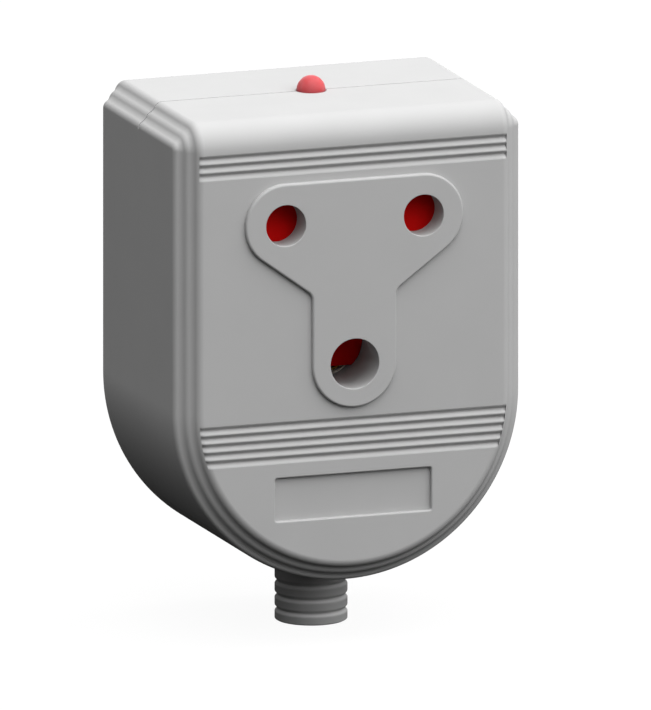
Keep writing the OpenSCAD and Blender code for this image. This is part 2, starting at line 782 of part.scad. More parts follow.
module cord_sleeve() {
    grooves = [for (i = [0 : sleeve_grooves - 1]) first_groove_z + i * sleeve_pitch];
    half = sleeve_groove_w / 2;
    color("#6e6e6e") rotate_extrude()
        polygon(concat([[cord_r, 0], [sleeve_r, 0]],
            [for (z = grooves) each [[sleeve_r, z - half], [sleeve_r - sleeve_groove_d, z - half],
                [sleeve_r - sleeve_groove_d, z + half], [sleeve_r, z + half]]],
            [[sleeve_r, collar_z], [collar_r, collar_z], [collar_r, collar_z + collar_t],
                [sleeve_r, collar_z + collar_t], [sleeve_r, sleeve_top], [cord_r, sleeve_top]]));
}

module cord_clamp() {
    low = clamp_z - clamp_w / 2;
    high = clamp_z + clamp_w / 2;
    half = clamp_reach + small_head_r + 0.4;
    color("#8e9094") difference() {
        union() {
            box([-half, 0, low], [half, clamp_t, high]);
            translate([0, 0, low]) cylinder(r = arch_r, h = clamp_w);
        }
        box([-half, -arch_r - over, low - over], [half, 0, high + over]);
        translate([0, 0, low - over]) cylinder(r = cord_r, h = clamp_w + over * 2);
        for (place = clamp_places)
            rod_y(place, small_r + fit_gap, -over, clamp_t + over);
    }
}

module clamp_screws() {
    color("#c4c4c4") for (place = clamp_places)
        screw(place, clamp_t + seat_gap, small_r, clamp_screw_len, small_head_r);
}

module housing_screws() {
    color("#bcbcbc") for (place = post_places)
        screw(place, rear_d - well_d + seat_gap, screw_r, screw_len, head_r);
}

front_shell();
rear_shell();
shutter();
shutter_spring();
contact_block();
live_contact();
neutral_contact();
earth_contact();
live_clip();
neutral_clip();
earth_clip();
terminal_screws();
block_screws();
indicator_lamp();
lamp_leads();
lamp_board();
lamp_resistor();
lamp_diode();
live_link();
neutral_link();
cord_sleeve();
cord_clamp();
clamp_screws();
housing_screws();
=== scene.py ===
# Trailing socket with three round pin holes, a red shutter, an indicator lamp and a ribbed cord sleeve
import json
import math
from functools import partial

import bmesh
import bpy
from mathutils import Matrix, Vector


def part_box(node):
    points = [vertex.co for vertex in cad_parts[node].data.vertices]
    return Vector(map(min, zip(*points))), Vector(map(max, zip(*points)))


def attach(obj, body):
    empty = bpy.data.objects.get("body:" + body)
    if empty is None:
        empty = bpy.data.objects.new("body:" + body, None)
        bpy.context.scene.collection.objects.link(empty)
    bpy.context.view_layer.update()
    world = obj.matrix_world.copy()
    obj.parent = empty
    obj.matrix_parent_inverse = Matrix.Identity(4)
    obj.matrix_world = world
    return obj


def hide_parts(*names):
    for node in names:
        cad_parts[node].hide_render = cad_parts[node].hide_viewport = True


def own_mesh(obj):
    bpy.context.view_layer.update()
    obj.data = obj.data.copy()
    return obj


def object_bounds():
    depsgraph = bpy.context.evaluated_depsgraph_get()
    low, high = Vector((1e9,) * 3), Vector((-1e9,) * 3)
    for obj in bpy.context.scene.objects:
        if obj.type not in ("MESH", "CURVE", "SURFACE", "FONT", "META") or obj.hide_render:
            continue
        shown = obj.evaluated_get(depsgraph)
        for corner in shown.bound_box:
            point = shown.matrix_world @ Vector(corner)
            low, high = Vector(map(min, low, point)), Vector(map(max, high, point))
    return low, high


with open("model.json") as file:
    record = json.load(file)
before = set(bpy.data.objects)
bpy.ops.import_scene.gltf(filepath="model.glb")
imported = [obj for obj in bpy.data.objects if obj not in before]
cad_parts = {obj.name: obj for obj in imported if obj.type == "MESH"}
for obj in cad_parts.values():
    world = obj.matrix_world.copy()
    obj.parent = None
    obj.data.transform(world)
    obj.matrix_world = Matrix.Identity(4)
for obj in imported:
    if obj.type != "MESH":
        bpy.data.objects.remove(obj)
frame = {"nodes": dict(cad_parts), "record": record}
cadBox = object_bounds()
scene = bpy.context.scene
mm = 0.001  # lengths below are in millimetres, the scene is in metres
weld = 2e-7  # corners nearer to each other than this, in metres, are one
print("frame loaded")


# Helpers

def linear(hexColour):
    # sRGB hex to the linear colour that the shaders take
    channels = [int(hexColour[i:i + 2], 16) / 255 for i in (1, 3, 5)]
    return [c / 12.92 if c <= 0.04045 else ((c + 0.055) / 1.055) ** 2.4 for c in channels] + [1]


def addNode(tree, kind, inputs=None, **settings):
    # Adds a node with its settings; inputs go by name or in order, and each is a value, a socket,
    # or a node that is linked by its first output
    node = tree.nodes.new(kind)
    for name, value in settings.items():
        setattr(node, name, value)
    for name, value in inputs.items() if isinstance(inputs, dict) else enumerate(inputs or ()):
        source = value.outputs[0] if isinstance(value, bpy.types.Node) else value
        if isinstance(source, bpy.types.NodeSocket):
            tree.links.new(source, node.inputs[name])
        else:
            node.inputs[name].default_value = value
    return node


def nodeBox(name):
    # Lowest and highest corner of a CAD node, in millimetres
    low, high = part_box(name)
    return low / mm, high / mm


def newObject(name, data):
    piece = bpy.data.objects.new(name, data)
    scene.collection.objects.link(piece)
    return piece


def tidyMesh(mesh, outwards=False):
    # Merges doubles, drops faces without area and closes holes of up to 6 edges; outwards turns faces out
    bm = bmesh.new()
    bm.from_mesh(mesh)
    bmesh.ops.remove_doubles(bm, verts=bm.verts, dist=weld)
    bmesh.ops.dissolve_degenerate(bm, edges=bm.edges, dist=weld)
    bmesh.ops.holes_fill(bm, edges=[e for e in bm.edges if e.is_boundary], sides=6)
    if outwards:
        bmesh.ops.recalc_face_normals(bm, faces=bm.faces)
    bm.to_mesh(mesh)
    bm.free()
    mesh.update()
    return mesh


def meshFrom(name, points, faces):
    # A closed mesh from points in millimetres
    mesh = bpy.data.meshes.new(name)
    mesh.from_pydata([Vector(p) * mm for p in points], [], faces)
    return newObject(name, tidyMesh(mesh, True))


def applied(piece):
    # Makes the piece's modifiers into plain mesh
    graph = bpy.context.evaluated_depsgraph_get()
    mesh = bpy.data.meshes.new_from_object(piece.evaluated_get(graph))
    piece.modifiers.clear()
    old = piece.data
    piece.data = mesh
    mesh.name = piece.name
    if old.users == 0:
        bpy.data.meshes.remove(old)


def combine(piece, other, operation):
    # Joins, cuts or keeps the shared part, and throws the other mesh away
    step = piece.modifiers.new(operation.lower(), "BOOLEAN")
    step.operation = operation
    step.solver = "EXACT"
    step.object = other
    applied(piece)
    bpy.data.objects.remove(other)
    tidyMesh(piece.data)
    return piece


def smooth(piece, sharpDegrees=30):
    # Soft shading below the given angle; large flat faces keep their own normals
    bm = bmesh.new()
    bm.from_mesh(piece.data)
    for face in bm.faces:
        face.smooth = True
    for edge in bm.edges:
        edge.smooth = edge.calc_face_angle(math.pi) < math.radians(sharpDegrees)
    bm.to_mesh(piece.data)
    bm.free()
    piece.data.update()
    normals = piece.modifiers.new("normals", "WEIGHTED_NORMAL")
    normals.mode = "FACE_AREA"
    normals.keep_sharp = True
    applied(piece)


def arc(centre, radius, start, end, steps):
    # Points on an arc, with the angles in degrees
    turns = [math.radians(start + (end - start) * i / steps) for i in range(steps + 1)]
    return [(centre[0] + radius * math.cos(t), centre[1] + radius * math.sin(t)) for t in turns]


def joinLoops(faces, first, second):
    for i in range(len(first)):
        after = (i + 1) % len(first)
        faces.append((first[i], first[after], second[after], second[i]))


def addLoop(points, spots):
    start = len(points)
    points += [Vector(p) for p in spots]
    return list(range(start, len(points)))


def stacked(name, outline, levels):
    # Prism along Y: the outline at each (inset, Y) level, capped at both ends
    points = []
    faces = []
    loops = [addLoop(points, [(x, y, z) for x, z in outline(inset)]) for inset, y in levels]
    for a, b in zip(loops, loops[1:]):
        joinLoops(faces, a, b)
    faces += [tuple(loops[0]), tuple(loops[-1])]
    return meshFrom(name, points, faces)


def flared(faceY, endY, rim, steps=6):
    # Levels of a cutter that starts 1 mm outside faceY, has a rounded rim there and ends at endY
    inward = math.copysign(1, endY - faceY)
    levels = [(-rim, faceY - inward)]
    for i in range(steps + 1):
        turn = math.pi / 2 * i / steps
        levels.append((rim * (math.sin(turn) - 1), faceY + inward * rim * (1 - math.cos(turn))))
    return levels + [(0, endY)]


def roundOutline(x, z, radius, steps=96):
    return lambda inset: arc((x, z), radius - inset, 0, 360 * (steps - 1) / steps, steps - 1)


def lathe(name, outline, steps=96):
    # Turns (radius, height) points about Z
    points = []
    faces = []
    rings = []
    for i in range(steps):
        turn = 2 * math.pi * i / steps
        rings.append(addLoop(points, [(r * math.cos(turn), r * math.sin(turn), z) for r, z in outline]))
    first = 1 if max(outline[0][0], outline[-1][0]) < 1e-6 else 0  # ends on the axis aren't joined by faces
    for i in range(steps):
        a, b = rings[i], rings[(i + 1) % steps]
        faces += [(a[j - 1], a[j], b[j], b[j - 1]) for j in range(first, len(outline))]
    return meshFrom(name, points, faces)


def cadCopy(node, name):
    # A merged copy of a CAD node, free to be cut
    return newObject(name, tidyMesh(frame["nodes"][node].data.copy()))


def islandBoxes(node):
    # The box of each separate solid of a CAD node, in millimetres
    bm = bmesh.new()
    bm.from_mesh(frame["nodes"][node].data)
    bmesh.ops.remove_doubles(bm, verts=bm.verts, dist=weld)
    left = set(bm.verts)
    boxes = []
    while left:
        found = [left.pop()]
        for vert in found:
            near = {e.other_vert(vert) for e in vert.link_edges} & left
            left -= near
            found += near
        spots = [v.co / mm for v in found]
        boxes.append((Vector([min(p[k] for p in spots) for k in range(3)]),
                      Vector([max(p[k] for p in spots) for k in range(3)])))
    bm.free()
    return sorted(boxes, key=lambda box: tuple(box[0]))


def geometryTree(name, lengths, counts=()):
    # A Geometry Nodes tree with named inputs; returns it, addNode for it, and its inputs' sockets
    tree = bpy.data.node_groups.new(name, "GeometryNodeTree")
    tree.interface.new_socket("Geometry", in_out="INPUT", socket_type="NodeSocketGeometry")
    tree.interface.new_socket("Geometry", in_out="OUTPUT", socket_type="NodeSocketGeometry")
    for label in (*lengths, *counts):
        size = tree.interface.new_socket(label, in_out="INPUT", socket_type="NodeSocketFloat")
        size.subtype = "DISTANCE" if label in lengths else "NONE"
    tree.interface.new_socket("Finish", in_out="INPUT", socket_type="NodeSocketMaterial")
    return tree, partial(addNode, tree), addNode(tree, "NodeGroupInput").outputs


def aroundZ(tree):
    # The position's coordinates, and its vector from the Z axis
    place = addNode(tree, "GeometryNodeInputPosition")
    x, y, z = addNode(tree, "ShaderNodeSeparateXYZ", [place]).outputs
    return x, y, z, addNode(tree, "ShaderNodeCombineXYZ", [x, y])


def lifted(tree, geometry, height):
    up = addNode(tree, "ShaderNodeCombineXYZ", {2: height})
    return addNode(tree, "GeometryNodeTransform", {"Geometry": geometry, "Translation": up})


def awayFromZ(tree, flat, distance):
    # The vector of that length away from the Z axis
    way = addNode(tree, "ShaderNodeVectorMath", [flat], operation="NORMALIZE")
    return addNode(tree, "ShaderNodeVectorMath", {0: way, "Scale": distance}, operation="SCALE")


def endTree(tree, geometry, finish):
    real = addNode(tree, "GeometryNodeRealizeInstances", [geometry])
    coated = addNode(tree, "GeometryNodeSetMaterial", {"Geometry": real, "Material": finish})
    addNode(tree, "NodeGroupOutput", [coated])


def grown(piece, tree, finish, values):
    # Runs the tree on the piece and leaves plain mesh; the input First Groove gets the value firstGroove
    maker = piece.modifiers.new("maker", "NODES")
    maker.node_group = tree
    for item in tree.interface.items_tree:
        key = item.name[0].lower() + item.name[1:].replace(" ", "")
        if key == "finish":
            maker[item.identifier] = finish
        elif key in values:
            maker[item.identifier] = values[key] * (mm if item.subtype == "DISTANCE" else 1)
    applied(piece)
    tidyMesh(piece.data, True)


# Camera: a parallel view from the front left and a little above
view = {
    "azimuth": -19.53,
    "elevation": 12.57,
    "pixelsPerMm": 5.7516,
    "frameSize": (651, 710),
    "originPixel": (311.0, 618.1),  # where the middle of the sleeve's mouth is seen
    "distance": 0.6,  # metres
}


def addCamera(s):
    azimuth, elevation = math.radians(s["azimuth"]), math.radians(s["elevation"])
    back = Vector((math.sin(azimuth) * math.cos(elevation), -math.cos(azimuth) * math.cos(elevation),
                   math.sin(elevation)))
    right = Vector((math.cos(azimuth), math.sin(azimuth), 0))
    up = back.cross(right)
    scale = s["pixelsPerMm"] / mm
    aside = (s["frameSize"][0] / 2 - s["originPixel"][0]) / scale
    above = (s["originPixel"][1] - s["frameSize"][1] / 2) / scale
    data = bpy.data.cameras.new("camera")
    data.type = "ORTHO"
    data.ortho_scale = max(s["frameSize"]) / scale
    camera = newObject("camera", data)
    camera.location = right * aside + up * above + back * s["distance"]
    camera.rotation_mode = "QUATERNION"
    camera.rotation_quaternion = back.to_track_quat("Z", "Y")
    scene.camera = camera


addCamera(view)
print("camera set")


# Materials

def startMaterial(name):
    material = bpy.data.materials.new(name)
    material.use_nodes = True
    tree = material.node_tree
    tree.nodes.clear()
    return material, tree


def grain(tree, size, detail=2.0, stretch=(1, 1, 1)):
    # Noise on object coordinates whose features are size millimetres across
    place = addNode(tree, "ShaderNodeTexCoord")
    mapping = addNode(tree, "ShaderNodeMapping", {"Vector": place.outputs["Object"], "Scale": stretch})
    return addNode(tree, "ShaderNodeTexNoise",
                   {"Vector": mapping, "Scale": 1 / (size * mm), "Detail": detail})


def surface(name, s, **more):
    # Two tints in soft clouds, gloss that varies with the grain, and the grain as relief;
    # where the piece's attribute asks for it, a paler tint painted on as a highlight
    material, tree = startMaterial(name)
    clouds = grain(tree, s["cloud"])
    fine = grain(tree, s["grain"], 3.0, s.get("stretch", (1, 1, 1)))
    first, second = s["tints"]
    colour = addNode(tree, "ShaderNodeMix", {"Factor": clouds, 6: linear(first), 7: linear(second)},
                     data_type="RGBA")
    # Most of the noise lies between 0.3 and 0.7
    gloss = addNode(tree, "ShaderNodeMapRange", {
        "Value": fine, "From Min": 0.3, "From Max": 0.7, "To Min": s["rough"][0], "To Max": s["rough"][1]})
    relief = addNode(tree, "ShaderNodeBump", {"Height": fine, "Distance": s["depth"] * mm})
    tint = colour.outputs[2]
    # A paler band painted in as a highlight, where the piece's attribute asks for it
    if "worn" in s:
        litLipShare = addNode(tree, "ShaderNodeAttribute", attribute_name="worn")
        paler = addNode(tree, "ShaderNodeMix", {
            "Factor": litLipShare.outputs["Fac"], 6: tint, 7: linear(s["worn"])}, data_type="RGBA")
        tint = paler.outputs[2]
    shader = addNode(tree, "ShaderNodeBsdfPrincipled", {
        "Base Color": tint, "Roughness": gloss, "Normal": relief, **more})
    addNode(tree, "ShaderNodeOutputMaterial", {"Surface": shader})
    return material


materials = {
    # Moulded ABS: even light grey with the mould's faint spark grain, and matt even when seen edge-on
    "shell_plastic": surface("mouldedAbs", {
        "tints": ("#b0b0b0", "#b4b4b4"), "cloud": 9, "grain": 0.35, "depth": 0.004, "rough": (0.74, 0.82),
    }, **{"IOR": 1.53, "Specular IOR Level": 0.0}),
    # Moulded nylon: deep red, a little waxy
    "shutter_plastic": surface("redNylon", {
        "tints": ("#bc0404", "#c60805"), "cloud": 5, "grain": 0.4, "depth": 0.006, "rough": (0.5, 0.6),
    }, **{"IOR": 1.53, "Specular IOR Level": 0.05}),
    # Moulded urea resin: warm cream with a dull face
    "block_plastic": surface("creamUrea", {
        "tints": ("#ddd7c6", "#e6e1d2"), "cloud": 6, "grain": 0.5, "depth": 0.008, "rough": (0.5, 0.62),
    }, **{"IOR": 1.6}),
    # Turned brass: yellow metal with fine rings of tool marks
    "contact_brass": surface("turnedBrass", {
        "tints": ("#c79b3d", "#d8b25a"), "cloud": 3, "grain": 0.25, "depth": 0.004, "rough": (0.22, 0.36),
        "stretch": (1, 6, 1),
    }, Metallic=1.0),
    # Drawn spring steel: grey, with lengthwise die marks and a soft gloss
    "clip_steel": surface("springSteel", {
        "tints": ("#a9adb2", "#bfc3c7"), "cloud": 2, "grain": 0.3, "depth": 0.004, "rough": (0.28, 0.4),
    }, Metallic=1.0),
    # Zinc plate on steel: bright, with a faint cloud
    "screw_steel": surface("zincPlate", {
        "tints": ("#b9bec3", "#cfd0cc"), "cloud": 1.5, "grain": 0.3, "depth": 0.003, "rough": (0.24, 0.36),
    }, Metallic=1.0),
    # Tinned copper wire: white metal with a soft gloss
    "lead_tin": surface("tinnedWire", {
        "tints": ("#c9c8c2", "#d9d8d3"), "cloud": 2, "grain": 0.3, "depth": 0.003, "rough": (0.25, 0.35),
    }, Metallic=1.0),
    # Pressed steel strip: dull grey with lengthwise roll marks
    "clamp_steel": surface("pressedSteel", {
        "tints": ("#96999c", "#aaadb0"), "cloud": 4, "grain": 0.35, "depth": 0.005, "rough": (0.34, 0.48),
        "stretch": (0.2, 1, 1),
    }, Metallic=1.0),
    # Glass laminate under lacquer: dark green and glossy over a fine weave
    "board_laminate": surface("greenLaminate", {
        "tints": ("#245c39", "#2f7047"), "cloud": 3, "grain": 0.6, "depth": 0.01, "rough": (0.25, 0.35),
    }),
    # Lacquered resistor body: sandy and smooth
    "resistor_body": surface("sandLacquer", {
        "tints": ("#c4a978", "#cfb68a"), "cloud": 1.5, "grain": 0.8, "depth": 0.004, "rough": (0.25, 0.35),
    }),
    # Moulded epoxy: black and dull
    "diode_body": surface("blackEpoxy", {
        "tints": ("#161616", "#1d1d1d"), "cloud": 1, "grain": 0.3, "depth": 0.006, "rough": (0.45, 0.55),
    }),
    # Extruded PVC over the wires: coloured, with a slight sheen
    "wire_brown": surface("brownPvc", {
        "tints": ("#5c331c", "#6a3d22"), "cloud": 3, "grain": 0.5, "depth": 0.004, "rough": (0.35, 0.45),
    }),
    "wire_blue": surface("bluePvc", {
        "tints": ("#27518c", "#2f5e9d"), "cloud": 3, "grain": 0.5, "depth": 0.004, "rough": (0.35, 0.45),
    }),
    # Moulded soft PVC: grey and matt, with a painted highlight along the lips of its rings, in place of
    # light from above
    "sleeve_rubber": surface("softPvc", {
        "tints": ("#a9a9a9", "#afafaf"), "cloud": 4, "grain": 0.4, "depth": 0.006, "rough": (0.76, 0.84),
        "worn": "#d2d2d2",
    }, **{"IOR": 1.53, "Specular IOR Level": 0.0}),
    # Diffused epoxy of an indicator lamp: rosy red, cloudy inside, so its light and shade are soft
    "lamp_lens": surface("redLampResin", {
        "tints": ("#ae4a4e", "#b85256"), "cloud": 2, "grain": 0.9, "depth": 0.002, "rough": (0.4, 0.46),
    }, **{"IOR": 1.54, "Specular IOR Level": 0.1, "Subsurface Weight": 1.0, "Subsurface Scale": 2 * mm,
          "Subsurface Radius": (1.0, 0.35, 0.35)}),
}
print("materials made")

# Shells: an outer skin swept along the border, with the CAD node's inside joined to it

frontLow, frontHigh = nodeBox("front_shell")
rearHigh = nodeBox("rear_shell")[1]
lampLow, lampHigh = nodeBox("indicator_lamp")
sleeveLow, sleeveHigh = nodeBox("cord_sleeve")
sleeveRadius = 6.35

body = {
    "plateThickness": 0.8,
    "borderWidth": 4.3,
    "borderDepth": 4.2,
    # Reeds: length and turn in degrees of each arc, from the side face to the front face
    "reedArcs": ((1.39, 60.4), (1.3, -33.2), (1.0, 32.3), (1.2, -33.5), (1.68, 64)),
    "arcStep": 0.1,
    "edgeRadius": 4.8,  # of the rounded edge between the top and the face
    "skin": 2.0,  # thickness of the swept skin
    "overlap": 1.7,  # depth at which the CAD inside starts, within the skin
    "corePast": 1.0,  # how far the cutter for the CAD inside runs past the seam
    "sideRun": 0.5,  # how far the swept border runs onto the side
    "faceRun": 1.0,  # how far it runs onto the face
    "seamGap": 0.2,  # each shell's share of the gap that shows along the top
    "seamRadius": 0.1,
    "seamDepth": 0.7,
    "seamSteps": 3,
    "sideShare": 0.06,  # the seam's size along the sides, as a share of that on the top
    "arcSteps": 96,
    "turnSteps": 12,
    "leastTurn": 0.2,  # least radius at which an inner wall's side turns at the rounded edge
    "runShare": 0.8,  # largest share of that radius that sideRun may take
}
body["halfWidth"] = frontHigh.x
body["top"] = frontHigh.z
body["centreZ"] = frontLow.z + body["halfWidth"]
body["frontDepth"] = -frontLow.y - body["plateThickness"]
body["rearDepth"] = rearHigh.y


def borderProfile(s):
    # Inset and rise from the side face to the front face, over reeds that are arcs
    spot = Vector((0, 0))
    heading = 0
    path = [spot.copy()]
    for length, turn in s["reedArcs"]:
        steps = round(length / s["arcStep"])
        for i in range(steps):
            heading += math.radians(turn) / steps / 2
            spot += Vector((math.sin(heading), math.cos(heading))) * length / steps
            heading += math.radians(turn) / steps / 2
            path.append(spot.copy())
    drop = Vector((0, s["borderDepth"] - spot.y))
    ends = Vector((0, -s["sideRun"])), Vector((spot.x + s["faceRun"], s["borderDepth"]))
    return [ends[0]] + [p + drop for p in path] + [ends[1]]


def sizesAt(s, depth, inset):
    # Sizes of the half body once its walls have moved in by inset: half width, depth, top, border width
    # and depth, and the radius of the rounded edge
    shrink = inset * (2 - math.sqrt(2))
    sizes = {
        "w": s["halfWidth"] - inset,
        "d": depth - inset,
        "top": s["top"] - inset,
        "bw": s["borderWidth"] - shrink,
        "bd": s["borderDepth"] - shrink,
    }
    sizes["er"] = max(s["edgeRadius"] - inset, sizes["bd"] + s["leastTurn"])
    return sizes


def insetProfile(s, sizes, steps):
    # The border's profile for a surface inside the wall, where it is a plain slope
    run = min(s["sideRun"], (sizes["er"] - sizes["bd"]) * s["runShare"])
    slope = [Vector((sizes["bw"] * i / steps, sizes["bd"] * i / steps)) for i in range(steps + 1)]
    return [Vector((0, -run))] + slope + [Vector((sizes["bw"] + s["faceRun"], sizes["bd"]))]


def stations(s, sizes, seamY):
    # Functions that place a profile point, from the seam at the top left round to the top right
    w, d, top, bd, er = (sizes[k] for k in ("w", "d", "top", "bd", "er"))
    ends = []
    for side in (-1, 1):
        half = [lambda p, x=side: Vector((x * (w - p.x), seamY, top - bd + p.y))]
        for i in range(s["turnSteps"] + 1):
            turn = math.pi / 2 * i / s["turnSteps"]
            half.append(lambda p, x=side, t=turn: Vector((
                x * (w - p.x),
                er - d - (er - bd + p.y) * math.sin(t),
                top - er + (er - bd + p.y) * math.cos(t))))
        ends.append(half)
    middle = []
    for i in range(s["arcSteps"] + 1):
        turn = math.pi + math.pi * i / s["arcSteps"]
        middle.append(lambda p, t=turn: Vector((
            (w - p.x) * math.cos(t), bd - d - p.y, s["centreZ"] + (w - p.x) * math.sin(t))))
    return ends[0] + middle + ends[1][::-1]


def addSurface(points, faces, s, sizes, profile, seamTop, seamSide, inner):
    # One side of a half body's wall; returns the indices of its edge at the seam
    rows = [addLoop(points, [place(p) for p in profile]) for place in stations(s, sizes, seamTop)]
    new = []
    for a, b in zip(rows, rows[1:]):
        new += [(a[j], a[j + 1], b[j + 1], b[j]) for j in range(len(profile) - 1)]
    first = s["turnSteps"] + 1  # the last station of the rounded edge
    last = len(rows) - 1
    new.append([row[-1] for row in rows[first:last - first + 1]])
    for i in range(first):
        new.append((rows[i][-1], rows[i + 1][-1], rows[last - i - 1][-1], rows[last - i][-1]))
    seam = addLoop(points, [(sizes["w"] * x, seamSide, s["centreZ"] + sizes["w"] * z)
                            for x, z in arc((0, 0), 1, 180, 360, s["arcSteps"])])
    for i in range(s["arcSteps"]):
        new.append((rows[first + 1 + i][0], rows[first + 2 + i][0], seam[i + 1], seam[i]))
    new.append([row[0] for row in rows[:first + 2]] + [seam[0]])
    new.append([row[0] for row in rows[:last - first - 2:-1]] + [seam[-1]])
    faces += [tuple(reversed(f)) if inner else tuple(f) for f in new]
    return rows[0][::-1] + seam + rows[last]


def seamEdge(points, faces, s, outer, topCount):
    # Rounds the shell's edge into the seam, then goes down to the plane where the shells meet
    count = len(outer)
    centre = Vector((0, 0, s["centreZ"]))
    shares = [1 if i < topCount - 1 or i > count - topCount else s["sideShare"] for i in range(count)]
    inward = []
    for i in range(count):
        along = points[outer[(i + 1) % count]] - points[outer[i - 1]]
        inward.append(Vector((-along.z, 0, along.x)).normalized())
    last = outer
    for step in range(1, s["seamSteps"] + 1):
        turn = math.pi / 2 * step / s["seamSteps"]
        spots = []
        for i in range(count):
            spot = points[outer[i]] + inward[i] * s["seamRadius"] * shares[i] * (1 - math.cos(turn))
            spot.y = -shares[i] * (s["seamGap"] + s["seamRadius"] * (1 - math.sin(turn)))
            spots.append(spot)
        loop = addLoop(points, spots)
        joinLoops(faces, last, loop)
        last = loop
    for y in (-s["seamGap"], 0):
        spots = []
        for i in range(count):
            way = centre - points[outer[i]]
            way.y = 0
            spot = points[outer[i]] + way.normalized() * s["seamDepth"]
            spot.y = y * shares[i]
            spots.append(spot)
        loop = addLoop(points, spots)
        joinLoops(faces, last, loop)
        last = loop
    return last


def halfMesh(name, points, faces, back):
    # Mesh of a half body's part; the back half is turned to the other side of the seam
    return meshFrom(name, [Vector((p.x, -p.y if back else p.y, p.z)) for p in points], faces)


def shellSkin(name, s, depth, profile, back):
    # Skin of a half body, closed over its edge at the seam
    points = []
    faces = []
    gap = s["seamGap"] + s["seamRadius"]
    outer = addSurface(points, faces, s, sizesAt(s, depth, 0), profile, -gap, -gap * s["sideShare"], False)
    edge = seamEdge(points, faces, s, outer, len(profile))
    sizes = sizesAt(s, depth, s["skin"])
    inner = addSurface(points, faces, s, sizes, insetProfile(s, sizes, len(profile) - 3), 0, 0, True)
    joinLoops(faces, edge, inner)
    return halfMesh(name, points, faces, back)


def shellCore(name, s, depth, back):
    # The space inside the skin, run on past the seam
    points = []
    faces = []
    past = s["corePast"]
    sizes = sizesAt(s, depth, s["overlap"])
    edge = addSurface(points, faces, s, sizes, insetProfile(s, sizes, 1), past, past, False)
    faces.append(tuple(edge))
    return halfMesh(name, points, faces, back)


# Grooves, label recess, raised plate and holes of the front face
face = {
    "groovePitch": 1.5,
    "grooveDepth": 0.44,
    "grooveSteps": 14,  # per groove
    "landDepth": 0.02,  # how far the crests between the grooves lie below the face
    "landRun": 0.15,
    "grooveReach": 3.5,  # distance from the side at which the grooves end
    "topGrooves": 3,
    "topGrooveDrop": 1.17,  # from the end of the rounded edge to the first groove's middle
    "lowGrooves": 5,
    "lowGrooveDrop": 2.51,
    "label": (28.8, 7.7, 0.8),  # width, height and depth of the recess
    "labelDrop": 3.34,
    "labelRim": 0.28,
    "labelCorner": 0.4,
    "labelSteps": 6,  # per corner
    "lobeRadius": 7.4,
    "footRadius": 7.75,
    "shoulder": 12.8,  # height over which the plate narrows to its leg
    "insideCorner": 2.0,  # rounding where the plate's slopes meet its leg
    "plateEdge": 0.42,
    "edgeSteps": 6,
    "lobeSteps": 24,
    "cornerSteps": 8,
    "lead": 1,  # how far cutters start outside the face, and the plate inside it
    "pinSpread": 25.4,
    "pinDrop": 18.5,
    "earthDrop": 25.5,
    "pinRadius": 3.85,
    "earthRadius": 4.65,
    "rim": 0.12,
    "mouthTight": 0.2,  # how much tighter the tunnels are at their mouths
    "mouthRun": 2.3,
    "tunnel": 5.8,  # how far the cutters go in, past the CAD's tunnels
    "clear": 0.02,  # a cutter's reach past the CAD surface, so that the two don't coincide
}
face["y"] = -body["frontDepth"]
face["plateY"] = face["y"] - body["plateThickness"]
face["pinZ"] = body["top"] - face["pinDrop"]
face["earthZ"] = face["pinZ"] - face["earthDrop"]
face["firstTopGroove"] = body["top"] - body["edgeRadius"] - face["topGrooveDrop"]
face["firstLowGroove"] = face["earthZ"] - face["footRadius"] - face["lowGrooveDrop"]
face["lastLowGroove"] = face["firstLowGroove"] - (face["lowGrooves"] - 1) * face["groovePitch"]


def plateOutline(inset):
    # The plate's outline as X and Z, from the top of its right lobe round to the left
    s = face
    pin, lobe, foot, corner = s["pinSpread"] / 2, s["lobeRadius"], s["footRadius"], s["insideCorner"]
    run = Vector((foot - pin, -s["shoulder"]))
    turn = math.degrees(math.atan2(run.y, run.x) + math.acos(lobe / run.length))
    normal = Vector((math.cos(math.radians(turn)), math.sin(math.radians(turn))))
    downhill = Vector((normal.y, -normal.x))
    # Centre of the rounding: beside the leg, and level with the slope that leaves the lobe
    start = Vector((pin, s["pinZ"])) + normal * (lobe + corner)
    centre = start + downhill * ((foot + corner - start.x) / downhill.x)
    right = arc((pin, s["pinZ"]), lobe - inset, 90, turn, s["lobeSteps"])
    right += arc(centre, corner + inset, turn + 180, 180, s["cornerSteps"])
    right += arc((0, s["earthZ"]), foot - inset, 0, -90, s["lobeSteps"])
    return right + [(-x, z) for x, z in right[-2::-1]]


def labelOutline(inset):
    # Rounded rectangle of the label's recess
    width, height, _ = face["label"]
    corner = face["labelCorner"]
    middle = face["lastLowGroove"] - face["labelDrop"] - height / 2
    outline = []
    for start, x, z in ((0, 1, 1), (90, -1, 1), (180, -1, -1), (270, 1, -1)):
        centre = (x * (width / 2 - corner), middle + z * (height / 2 - corner))
        outline += arc(centre, corner - inset, start, start + 90, face["labelSteps"])
    return outline


